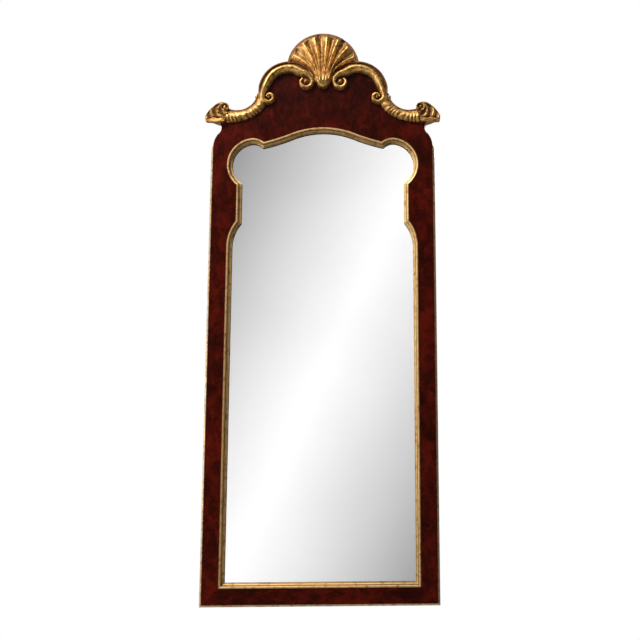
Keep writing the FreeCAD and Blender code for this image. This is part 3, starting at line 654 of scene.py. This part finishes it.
def leaf_front(side, sizes):
    """Front of the leaf over (angle, width): a smooth rim, a groove and lobes like gadroons.

    A lobe's swell is a raised sine along the angle and grows towards the lower
    edge, whose outline it pushes out.
    """
    along = np.linspace(0, 1, 420)[:, None]
    share = np.linspace(0, 1, 44)[None, :]
    # The carver's spacing wanders by a third of a lobe
    order = along * leaf_lobe_count + 0.33 * np.sin(2 * np.pi * 2.3 * along)
    lobe = np.abs(np.sin(np.pi * (order + 0.9 * share))) ** 0.8
    edge_lobe = np.abs(np.sin(np.pi * (order + 0.9))) ** 0.6
    width = np.interp(along, leaf_width_places, leaf_widths) + 0.026 * (edge_lobe - 0.5)
    turn = np.radians(leaf_foot_angle + (leaf_ear_angle - leaf_foot_angle) * along)
    radius = leaf_inner + width * share
    reach = np.clip((share - 0.48) / 0.30, 0, 1) * (0.35 + 0.55 * along)
    section = smooth_profile(share, (0, 0.03, 0.10, 0.14, 0.20, 0.34, 0.52, 0.66, 0.84, 1.0),
                             (0.50, 0.60, 0.60, 0.52, 0.56, 0.72, 0.82, 0.84, 0.72, 0.34))
    level = section * (1 - 0.24 * reach * (1 - lobe)) + 0.08 * reach * lobe
    front = crest_place(side * (leaf_centre[0] + radius * np.cos(turn)),
                        leaf_centre[1] + radius * np.sin(turn), level * sizes.leaf_depth)
    groove = np.exp(-((share - 0.16) / 0.05) ** 2)
    cut = 0.7 * reach * (1 - lobe) + 0.5 * groove + 0.5 * (share < 0.10)
    return front, cut + 0.08 + 0.30 * (1 - along)


def leaf_parts(side, name, sizes):
    """A leaf scroll and the knob at its foot."""
    centre, radius, share = leaf_knob
    front, cut = leaf_front(side, sizes)
    return [relief(name + "_leaf", front, cut),
            boss(name + "_knob", side, centre, radius, share * sizes.leaf_depth)]


class MIRROR_OT_leaf_scrolls(bpy.types.Operator):
    """Carves the two hollow leaf scrolls between the C-scrolls and the ears"""
    bl_idname = "mirror.leaf_scrolls"
    bl_label = "Leaf scrolls"

    def execute(self, context):
        carve_pair("leaf_scroll", leaf_parts)
        return {"FINISHED"}


# Ears

# Upper and lower edge of the ear in modules, from its root to its tip
ear_top = ((2.388, 1.410), (2.394, 1.475), (2.435, 1.535), (2.50, 1.574), (2.58, 1.588), (2.66, 1.573),
           (2.76, 1.515), (2.86, 1.425), (2.94, 1.325), (3.005, 1.215))
ear_foot = ((2.508, 1.078), (2.56, 1.066), (2.62, 1.062), (2.70, 1.061), (2.78, 1.063), (2.84, 1.068),
            (2.89, 1.070), (2.93, 1.072), (2.97, 1.078), (2.992, 1.094))
# Curl at the ear's root: its eye and radius in modules, its share of the ear's depth
curl_eye, curl_radius, curl_share = (2.492, 1.440), 0.105, 1.06
# Spacing in modules of the waves that wind out of the curl
wave_pitch = 0.17
# Small beads on the ear: centre and radius in modules, share of the ear's depth
ear_beads = ((2.665, 1.300), 0.036, 1.06), ((2.700, 1.395), 0.028, 1.00), ((2.850, 1.235), 0.026, 0.90)


def ear_front(side, sizes):
    """Front of the ear over (root to tip, foot to top).

    A smooth lip runs along the foot and a thin rim along the top. Between them the
    level is a cosine of three turns round the curl's eye and of the distance
    from it, so that its waves wind out of the curl as in a rolled leaf.
    """
    top = smooth_line(ear_top, 170)[:, None, :]
    foot = smooth_line(ear_foot, 170)[:, None, :]
    share = np.linspace(0, 1, 72)[None, :]
    along = np.linspace(0, 1, 170)[:, None]
    place = foot + (top - foot) * share[..., None]
    from_eye = place - curl_eye
    reach = np.hypot(from_eye[..., 0], from_eye[..., 1])
    turn = np.arctan2(from_eye[..., 1], from_eye[..., 0])
    wave = (0.5 + 0.5 * np.cos(3 * turn + 2 * np.pi * reach / wave_pitch)) ** 0.8
    lip = 1 / (1 + np.exp((share - 0.19) / 0.02))
    rim = 1 / (1 + np.exp((0.91 - share) / 0.02))
    grooves = np.exp(-((share - 0.23) / 0.03) ** 2) + np.exp(-((share - 0.86) / 0.03) ** 2)
    level = 0.76 * lip + 0.66 * rim + (1 - lip - rim) * (0.54 + 0.30 * wave) - 0.12 * grooves
    level = level * (1 - 0.16 * along ** 2)
    front = crest_place(side * place[..., 0], place[..., 1], level * sizes.ear_depth)
    cut = (0.25 + 0.65 * (1 - wave) ** 1.3) * (1 - lip - rim) + 0.7 * grooves + 0.5 * rim + 0.3 * lip
    return front, cut


def ear_parts(side, name, sizes):
    """An ear's leaf, its curl and its beads."""
    front, cut = ear_front(side, sizes)
    beads = [boss(name + "_bead", side, centre, radius, share * sizes.ear_depth)
             for centre, radius, share in ear_beads]
    return [relief(name + "_leaf", front, cut),
            curl(name + "_curl", side, curl_eye, curl_radius, curl_share * sizes.ear_depth), *beads]


class MIRROR_OT_ears(bpy.types.Operator):
    """Carves the two leaf ears that reach past the frame's sides"""
    bl_idname = "mirror.ears"
    bl_label = "Ears"

    def execute(self, context):
        carve_pair("ear_leaf", ear_parts)
        return {"FINISHED"}


# Pieces whose shape the construction model already has

class MIRROR_OT_boards(bpy.types.Operator):
    """Finishes the boards: burr veneer in front, planed pine behind"""
    bl_idname = "mirror.boards"
    bl_label = "Boards and veneer"

    def execute(self, context):
        upright = burr_mahogany(0.0, "burr veneer, upright leaves")
        level = burr_mahogany(math.radians(90), "burr veneer, level leaves")
        dress(["veneer_right_stile", "veneer_left_stile", "veneer_crest_right", "veneer_crest_left"],
              upright)
        dress(["veneer_bottom_rail"], level)
        boards = [name for name in nodes if name.startswith("carcass_")]
        dress(boards + ["glazing_blocks"], planed_pine("planed pine"))
        dress(["backboard"], planed_pine("planed backboard"))
        return {"FINISHED"}


class MIRROR_OT_gilding(bpy.types.Operator):
    """Lays the gilding of the carvings and mouldings, and of the edge strips"""
    bl_idname = "mirror.gilding"
    bl_label = "Gilding"

    def execute(self, context):
        colours = context.scene.mirror_colours
        gilding("water gilding", colours.gilt, colours.gilt_deep, worn=0.28, cut=carved_cut)
        gilding("moulding gilding", colours.moulding_gilt, colours.moulding_dull, worn=0.20,
                cut=carved_cut)
        gilding("pale strip gilding", colours.strip_gilt, colours.strip_worn, worn=0.24, cut=worn_cut)
        return {"FINISHED"}


# Edge strips

# Widths, and how far a side strip runs on above the shoulder, in metres
strip_width = 0.005
strip_end_width = 0.002
strip_end_rise = 0.045
# Level of the strip's outer side against the veneer, and its rise from there to the inner edge
strip_foot, strip_rise = -0.0022, 0.0037


def edge_strip(name, outer, inner):
    """Strip between its outer and inner edge, given as places in the front elevation.

    Its section is a quarter ellipse that rises from the frame's side to the
    inner edge, where a small wall falls to the veneer.
    """
    share = np.array([0, 0.02, 0.06, 0.12, 0.20, 0.32, 0.46, 0.62, 0.80, 0.94, 1.0, 1.0])
    level = strip_foot + strip_rise * np.sqrt(1 - (1 - share) ** 2)
    level[-1] = 0
    place = outer[:, None, :] + (inner - outer)[:, None, :] * share[None, :, None]
    depth = np.broadcast_to(veneer_front - level, place.shape[:2])
    front = np.stack([place[..., 0], depth, place[..., 1]], axis=-1)
    cut = np.zeros(place.shape[:2])
    piece = relief("gilt_" + name, front, cut, bottom_high.y)
    seat(piece, name, bpy.data.materials["pale strip gilding"])


class MIRROR_OT_edge_strips(bpy.types.Operator):
    """Lays the thin pale gilt strips along the frame's sides and bottom"""
    bl_idname = "mirror.edge_strips"
    bl_label = "Edge strips"

    def execute(self, context):
        inner_side = half_width - strip_width
        rise = np.linspace(0, 1, 13)
        # The strip's outer side bends in along a quarter of an ellipse as it runs out
        bend = (strip_width - strip_end_width) * (1 - np.sqrt(1 - rise ** 2))
        outer = np.stack([half_width - bend, shoulder_level + strip_end_rise * rise], axis=-1)
        inner = np.stack([np.full(len(rise), inner_side), outer[:, 1]], axis=-1)
        outer = np.concatenate([[[half_width, bottom_edge]], outer])
        inner = np.concatenate([[[inner_side, bottom_edge + strip_width]], inner])
        for side, word in sides:
            edge_strip("edge_strip_" + word, outer * [side, 1], inner * [side, 1])
        ends = np.array([[-1.0, 0.0], [1.0, 0.0]])
        edge_strip("edge_strip_bottom", ends * half_width + [0, bottom_edge],
                   ends * inner_side + [0, bottom_edge + strip_width])
        return {"FINISHED"}


# Sight moulding

# Half widths and heights of the opening in metres, the heights from the mirror's bottom edge
opening_half_width, neck_half_width = 0.241, 0.219
opening_bottom, step_height, step_top = 0.0415, 0.872, 0.938
cusp_height, head_rise = 1.0316, 0.1534
# Points of the head from its cusp to its crown, as shares of the neck's half width and the head's rise
lobe_side, lobe_top, hook_end, crown_end = (1.116, 0.348), (0.877, 0.801), (0.687, 0.748), (0.388, 0.887)
# Points on each arc of the opening
arc_points = 30


def sight_point(across, up):
    """A point of the shaped head in shares of the neck's half width and the head's rise."""
    return np.array([across * neck_half_width, cusp_height + up * head_rise])


def arc_path(start, middle, end):
    """Points of the circle through three points, turned evenly from the first to the last."""
    chords = np.array([middle - start, end - start])
    centre = start + np.linalg.solve(2 * chords, (chords ** 2).sum(axis=1))
    from_centre = np.array([start, middle, end]) - centre
    angles = np.unwrap(np.arctan2(from_centre[:, 1], from_centre[:, 0]))
    turn = np.linspace(angles[0], angles[-1], arc_points)
    radius = np.linalg.norm(from_centre[0])
    return centre + radius * np.stack([np.cos(turn), np.sin(turn)], axis=-1)


def tangent_arc_path(start, direction, end):
    """Points of the arc that leaves start along a direction and reaches end."""
    chord = end - start
    normal = np.array([-direction[1], direction[0]]) / np.linalg.norm(direction)
    centre = start + normal * (chord @ chord) / (2 * chord @ normal)
    half_way = (start + end) / 2 - centre
    radius = np.linalg.norm(start - centre)
    return arc_path(start, centre + half_way / np.linalg.norm(half_way) * radius, end)


def last_step(path):
    """Step from a path's last point but one to its last."""
    return path[-1] - path[-2]


def opening_runs():
    """Paths of the five lengths from the bottom over the right side to the arch."""
    step = np.array([opening_half_width, step_height])
    corner = np.array([neck_half_width, step_top])
    low = np.array([opening_half_width, opening_bottom])
    rounded = tangent_arc_path(step, np.array([0.0, 1.0]), corner)
    swell = arc_path(sight_point(1, 0), sight_point(*lobe_side), sight_point(*lobe_top))
    hook = tangent_arc_path(swell[-1], last_step(swell), sight_point(*hook_end))
    crown_start = sight_point(*crown_end)
    crown = arc_path(crown_start, sight_point(0, 1), crown_start * [-1, 1])
    reverse = tangent_arc_path(crown[-1], last_step(crown), sight_point(*hook_end) * [-1, 1])
    return {
        "bottom": np.array([[-opening_half_width, opening_bottom], low]),
        "right_side": np.concatenate([[low], rounded]),
        "right_neck": np.array([corner, sight_point(1, 0)]),
        "right_lobe": np.concatenate([swell, hook[1:]]),
        "arch": np.concatenate([(reverse * [-1, 1])[::-1], crown[1:-1], reverse]),
    }


# The moulding's section in millimetres, from the boards inwards and above the veneer: its outer
# edge, a bead that is part of an ellipse (centre, half width, half height), a quirk, a cove that
# is a quarter of one (start, level, width, drop) and a fillet beside the glass
outer_edge = ((0.2, 0.8), (0.5, 1.7))
bead_centre, bead_reach, bead_rise = 2.6, 3.8, 2.1
quirk = ((6.5, -1.1),)
cove_start, cove_level, cove_width, cove_drop = 6.6, -0.9, 4.4, 6.5
fillet = ((11.3, -6.9), (12.5, -6.9), (13.0, -7.4), (13.0, -9.3))


def moulding_profile():
    """Points of the section in metres, and the cut at each: bright on the bead's top, painted shade on the
    outer wall, the bead's flanks and the wall down to the glass, darker in the quirk and the cove's upper
    part.
    """
    turn = np.linspace(0.38 * np.pi, np.pi, 11)
    cosine = np.cos(turn)
    bead = np.stack([bead_centre - bead_reach * cosine, bead_rise * np.sin(turn)], axis=-1)
    fall = np.linspace(0, np.pi / 2, 8)
    cove = np.stack([cove_start + cove_width * (1 - np.cos(fall)),
                     cove_level - cove_drop * np.sin(fall)], axis=-1)
    section = np.concatenate([outer_edge, bead, quirk, cove, fillet])
    # Painted shade: the outer wall, the bead's two flanks and the wall down to the glass are darkened so
    # that the highlight stays on the bead's top
    bead_painted_shade = 0.10 + 0.75 * cosine.clip(-1, 0) ** 4 + 0.80 * (cosine.clip(0, 1) / 0.37) ** 0.7
    cut = np.concatenate([[0.95, 0.95], bead_painted_shade, [0.95], 0.70 - 0.40 * np.sin(fall),
                          [0.1, 0.05, 0.4, 0.85]])
    return section / 1000, cut


def across_joint(before, after):
    """Vector across a mitre, so long that a step of one square to either run is a step of one."""
    normals = [np.array([-run[1], run[0]]) / np.linalg.norm(run) for run in (before, after)]
    return (normals[0] + normals[1]) / (1 + normals[0] @ normals[1])


def moulding_run(name, path, before, after, side=1):
    """One length: the section carried along its path, its ends cut to the mitres."""
    section, section_cut = moulding_profile()
    steps = np.gradient(path, axis=0)
    inward = np.stack([-steps[:, 1], steps[:, 0]], axis=-1) / np.linalg.norm(steps, axis=1)[:, None]
    inward[0] = across_joint(before, path[1] - path[0])
    inward[-1] = across_joint(last_step(path), after)
    place = path[:, None, :] + inward[:, None, :] * section[None, :, :1]
    level = np.broadcast_to(veneer_front - section[None, :, 1], place.shape[:2])
    front = np.stack([side * place[..., 0], level, bottom_edge + place[..., 1]], axis=-1)
    cut = np.broadcast_to(section_cut, place.shape[:2])
    piece = relief("sight_bead_" + name, front, cut, glass_front)
    seat(piece, "sight_moulding_" + name, bpy.data.materials["moulding gilding"])


class MIRROR_OT_sight_moulding(bpy.types.Operator):
    """Runs the gilt bead and cove round the plate, in eight mitred lengths"""
    bl_idname = "mirror.sight_moulding"
    bl_label = "Sight moulding"

    def execute(self, context):
        runs = opening_runs()
        up, flip = np.array([0.0, 1.0]), np.array([1.0, -1.0])
        order = ("bottom", "right_side", "right_neck", "right_lobe", "arch")
        first_steps = {name: runs[name][1] - runs[name][0] for name in order}
        last_steps = {name: last_step(runs[name]) for name in order}
        moulding_run("bottom", runs["bottom"], -up, up)
        moulding_run("arch", runs["arch"], last_steps["right_lobe"], last_steps["right_lobe"] * flip)
        for name, before, after in zip(order[1:4], order, order[2:]):
            for side, word in sides:
                moulding_run(name.replace("right", word), runs[name], last_steps[before],
                             first_steps[after], side)
        return {"FINISHED"}


# Share of the silvering's thickness by which its front keeps off the glass, so both faces show
silvering_set_back = 0.1


class MIRROR_OT_plate(bpy.types.Operator):
    """Finishes the plate: clear glass in front of its silvered back

    The silvering is a copy of its node whose front moves back by a share of the thickness.
    """
    bl_idname = "mirror.plate"
    bl_label = "Plate"

    def execute(self, context):
        dress(["mirror_glass"], clear_plate())
        silvering = nodes["mirror_silvering"]
        mesh = silvering.data.copy()
        places = np.empty(len(mesh.vertices) * 3)
        mesh.vertices.foreach_get("co", places)
        depths = places.reshape(-1, 3)[:, 1]
        depths[:] = depths * (1 - silvering_set_back) + depths.max() * silvering_set_back
        mesh.vertices.foreach_set("co", places)
        mesh.materials.clear()
        seat(linked("silver_leaf", mesh), "mirror_silvering", silvered_back())
        return {"FINISHED"}


class MIRROR_OT_hardware(bpy.types.Operator):
    """Finishes the hangers, their rings and screws, and the nails of the backboard"""
    bl_idname = "mirror.hardware"
    bl_label = "Hangers and nails"

    def execute(self, context):
        colours = context.scene.mirror_colours
        # Scratches of 1.1 mm in the plating, scale of 2 mm on the nails
        steel = worked_metal("plated steel", colours.steel, metallic=1.0, roughness=0.32,
                             grain_per_metre=900.0)
        iron = worked_metal("cut iron", colours.iron, metallic=0.8, roughness=0.6,
                            grain_per_metre=500.0)
        dress([name for name in nodes if name.startswith("hang")], steel)
        dress(["backboard_nails"], iron)
        return {"FINISHED"}


# Studio

# The photograph's camera: its place, its turn, its lens and sensor in millimetres, its sideways shift
camera_place = Vector((0.1744, -2.2361, -0.2795))
camera_yaw, camera_pitch, camera_roll = (math.radians(a) for a in (0.661, 8.968, -0.410))
camera_lens, camera_sensor, camera_shift = 50.625, 36, -0.1288

# Lamps: name, place, the point each faces, size in metres, watts
lamps = (("key lamp", (-1.3, -2.2, 2.7), (0, 0, 0.1), 0.8, 105),
         ("side lamp", (-2.2, -1.0, -0.1), (0, 0, 0), 0.6, 16),
         ("back lamp", (1.2, 2.4, 1.6), (0, 0, 0), 0.8, 60))

# Soft boxes that the gilding shows, the last one behind the mirror: the way to each, how
# sharp its edge is, how bright it is
soft_boxes = (((-0.96, -0.17, 0.24), 8.0, 3.4), ((0.97, -0.15, 0.05), 14.0, 0.7),
              ((-0.05, -0.42, 0.90), 18.0, 5.0), ((0.20, 0.90, 0.30), 3.0, 0.7))
# Light of the room on rough surfaces, and its glow between the soft boxes in the metal
room_light, room_glow = 0.28, 0.025

# Line in the plate along which the bright panel lies: factors of the way across and up, offset
panel_across, panel_up, panel_offset = 2.014, -0.918, 0.247
# The panel's sRGB level on that line and far from it, and how the level falls in between,
# a metre and a metre squared; the gain makes up for what the glass takes
panel_level, panel_floor, panel_gain = 1.03, 0.56, 1.12
panel_fall, panel_curve = 125.0 / 255, 250.0 / 255
# Power that turns an sRGB level to light
srgb_power = 2.2


def panel_light(world, ray):
    """Bright panel that the plate shows.

    Its level falls with the distance, in metres on the plate, from a line that
    leans 65 degrees: by 125 and 250 sRGB steps a metre and a metre squared.
    """
    # The way across and up for each metre out into the room, kept from a division by nothing
    axes = add(world, "ShaderNodeSeparateXYZ", {"Vector": ray})
    outwards = add(world, "ShaderNodeMath", {0: axes.outputs["Y"], 1: -1.0},
                   {"operation": "MULTIPLY"})
    ahead = add(world, "ShaderNodeMath", {0: outwards, 1: 0.05}, {"operation": "MAXIMUM"})
    across = add(world, "ShaderNodeMath", {0: axes.outputs["X"], 1: ahead}, {"operation": "DIVIDE"})
    up = add(world, "ShaderNodeMath", {0: axes.outputs["Z"], 1: ahead}, {"operation": "DIVIDE"})
    lean = add(world, "ShaderNodeMath", {0: across, 1: panel_across, 2: panel_offset},
               {"operation": "MULTIPLY_ADD"})
    lean = add(world, "ShaderNodeMath", {0: up, 1: panel_up, 2: lean}, {"operation": "MULTIPLY_ADD"})
    far = add(world, "ShaderNodeMath", {0: lean}, {"operation": "ABSOLUTE"})
    slope = add(world, "ShaderNodeMath", {0: far, 1: -panel_curve, 2: -panel_fall},
                {"operation": "MULTIPLY_ADD"})
    level = add(world, "ShaderNodeMath", {0: far, 1: slope, 2: panel_level},
                {"operation": "MULTIPLY_ADD"})
    level = add(world, "ShaderNodeMath", {0: level, 1: panel_floor}, {"operation": "MAXIMUM"})
    light = add(world, "ShaderNodeMath", {0: level, 1: srgb_power}, {"operation": "POWER"})
    return add(world, "ShaderNodeMath", {0: light, 1: panel_gain}, {"operation": "MULTIPLY"})


def box_light(world, ray):
    """Soft boxes in a dim room: each is the cosine of the way off its middle, to a power."""
    total = room_glow
    for towards, sharpness, strength in soft_boxes:
        off_middle = add(world, "ShaderNodeVectorMath", {0: ray, 1: Vector(towards).normalized()},
                         {"operation": "DOT_PRODUCT"})
        facing = add(world, "ShaderNodeMath", {0: off_middle.outputs["Value"], 1: 0.0},
                     {"operation": "MAXIMUM"})
        glow = add(world, "ShaderNodeMath", {0: facing, 1: sharpness}, {"operation": "POWER"})
        total = add(world, "ShaderNodeMath", {0: glow, 1: strength, 2: total},
                    {"operation": "MULTIPLY_ADD"})
    return total


def studio_world():
    """Plain light on rough surfaces, soft boxes in the metal, the panel in the plate, white behind."""
    world = bpy.data.worlds.new("studio")
    world.use_nodes = True
    world.node_tree.nodes.clear()
    ray = add(world, "ShaderNodeTexCoord").outputs["Generated"]
    path = add(world, "ShaderNodeLightPath")
    shown_to = (("Is Glossy Ray", box_light(world, ray)),
                ("Is Transmission Ray", panel_light(world, ray)), ("Is Camera Ray", 1.0))
    white = opaque((1, 1, 1))
    whole = add(world, "ShaderNodeBackground", {"Color": white, "Strength": room_light})
    for kind, strength in shown_to:
        shown = add(world, "ShaderNodeBackground", {"Color": white, "Strength": strength})
        whole = add(world, "ShaderNodeMixShader", {"Fac": path.outputs[kind], 1: whole, 2: shown})
    add(world, "ShaderNodeOutputWorld", {"Surface": whole})
    return world


def lamp(name, place, target, size, watts):
    """Soft square lamp that faces a point."""
    light = bpy.data.lights.new(name, "AREA")
    light.shape = "SQUARE"
    light.size = size
    light.energy = watts
    holder = linked(name, light)
    holder.location = place
    holder.rotation_euler = (Vector(target) - Vector(place)).to_track_quat("-Z", "Y").to_euler()


def studio_camera():
    """Camera where the photograph was taken: its place, its turn and its lens."""
    forward = Vector((math.sin(camera_yaw) * math.cos(camera_pitch),
                      math.cos(camera_yaw) * math.cos(camera_pitch), math.sin(camera_pitch)))
    right = forward.cross(Vector((0, 0, 1))).normalized()
    right = (Matrix.Rotation(-camera_roll, 3, forward) @ right).normalized()
    up = right.cross(forward)
    camera = bpy.data.cameras.new("camera")
    camera.lens = camera_lens
    camera.sensor_width = camera_sensor
    # The photograph was taken from the right and cut to its left part, so the sides stay parallel
    camera.shift_x = camera_shift
    holder = linked("camera", camera)
    turn = Matrix((right, up, -forward)).transposed()
    holder.matrix_world = Matrix.Translation(camera_place) @ turn.to_4x4()
    return holder


def pale_floor(level):
    """Flat pale floor under the mirror, below the picture, that throws some light back up."""
    mesh = bpy.data.meshes.new("floor")
    reach = 2.0
    corners = [(-reach, -reach, level), (reach, -reach, level), (reach, reach, level),
               (-reach, reach, level)]
    mesh.from_pydata(corners, [], [(0, 1, 2, 3)])
    material, place = new_material("pale studio floor")
    # Clouds of about 330 mm
    cloud = add(material, "ShaderNodeTexNoise", {"Vector": place, "Scale": 3.0})
    colour = add(material, "ShaderNodeValToRGB", {"Fac": cloud}, stops=(
        (0.3, linear_colour("EDEDEC")), (0.7, linear_colour("F4F4F3"))))
    shader = add(material, "ShaderNodeBsdfPrincipled", {"Base Color": colour, "Roughness": 0.9})
    mesh.materials.append(finish_material(material, shader))
    return linked("floor", mesh)


class MIRROR_OT_stage(bpy.types.Operator):
    """Sets the studio: floor, world, lamps and the camera of the photograph"""
    bl_idname = "mirror.stage"
    bl_label = "Studio"

    def execute(self, context):
        scene = context.scene
        pale_floor(bottom_edge - scene.mirror_sizes.floor_drop)
        scene.world = studio_world()
        scene.view_settings.view_transform = "Standard"
        for settings in lamps:
            lamp(*settings)
        scene.camera = studio_camera()
        return {"FINISHED"}


class MIRROR_PT_panel(bpy.types.Panel):
    bl_label = "Wall mirror"
    bl_space_type = "VIEW_3D"
    bl_region_type = "UI"
    bl_category = "Mirror"

    def draw(self, context):
        for operator in operators:
            self.layout.operator(operator.bl_idname)
        for group in (context.scene.mirror_sizes, context.scene.mirror_colours):
            column = self.layout.column()
            for name in type(group).__annotations__:
                column.prop(group, name)


operators = (MIRROR_OT_boards, MIRROR_OT_gilding, MIRROR_OT_edge_strips, MIRROR_OT_sight_moulding,
             MIRROR_OT_plate, MIRROR_OT_shell, MIRROR_OT_c_scrolls, MIRROR_OT_leaf_scrolls,
             MIRROR_OT_ears, MIRROR_OT_hardware, MIRROR_OT_stage)
classes = (MirrorSizes, MirrorColours, *operators, MIRROR_PT_panel)


def register():
    for added in classes:
        bpy.utils.register_class(added)
    bpy.types.Scene.mirror_sizes = bpy.props.PointerProperty(type=MirrorSizes)
    bpy.types.Scene.mirror_colours = bpy.props.PointerProperty(type=MirrorColours)


def unregister():
    del bpy.types.Scene.mirror_sizes
    del bpy.types.Scene.mirror_colours
    for added in reversed(classes):
        bpy.utils.unregister_class(added)


def main():
    register()
    bpy.ops.mirror.boards()
    bpy.ops.mirror.gilding()
    bpy.ops.mirror.edge_strips()
    bpy.ops.mirror.sight_moulding()
    bpy.ops.mirror.plate()
    bpy.ops.mirror.shell()
    bpy.ops.mirror.c_scrolls()
    bpy.ops.mirror.leaf_scrolls()
    bpy.ops.mirror.ears()
    bpy.ops.mirror.hardware()
    bpy.ops.mirror.stage()


if __name__ == "__main__":
    main()
